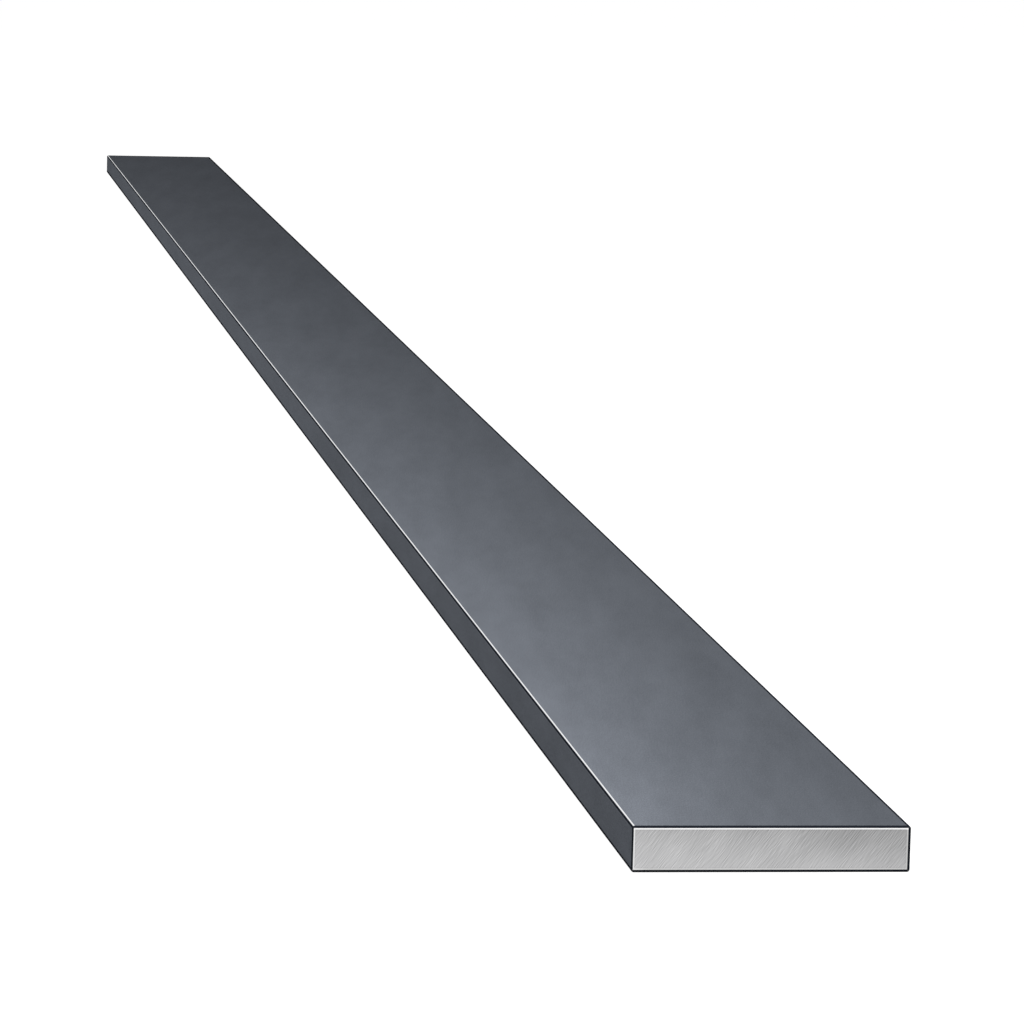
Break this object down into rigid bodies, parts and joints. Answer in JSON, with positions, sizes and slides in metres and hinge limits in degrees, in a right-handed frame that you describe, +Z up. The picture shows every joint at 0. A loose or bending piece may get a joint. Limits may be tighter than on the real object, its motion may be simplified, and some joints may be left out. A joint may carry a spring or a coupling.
{
  "type": "metal flat bar",
  "caption": "Straight solid steel flat bar with square edges and plain sawn ends, raw stock to cut, drill, bend or weld into frames, brackets and straps.",
  "frame": {"origin": "middle of the underside, on the floor that the bar lies on", "axes": "+X along the bar's length, +Y across its width, +Z up through its thickness, with a wide face down"},
  "size_m": [1, 0.03, 0.005],
  "materials": {
    "steel": "dark blue-grey mill scale, nearly matt, on the four rolled faces; bright bare steel with fine grinding scratches on both sawn ends"
  },
  "bodies": {
    "root": {"flat_bar": "steel"}
  },
  "joints": []
}
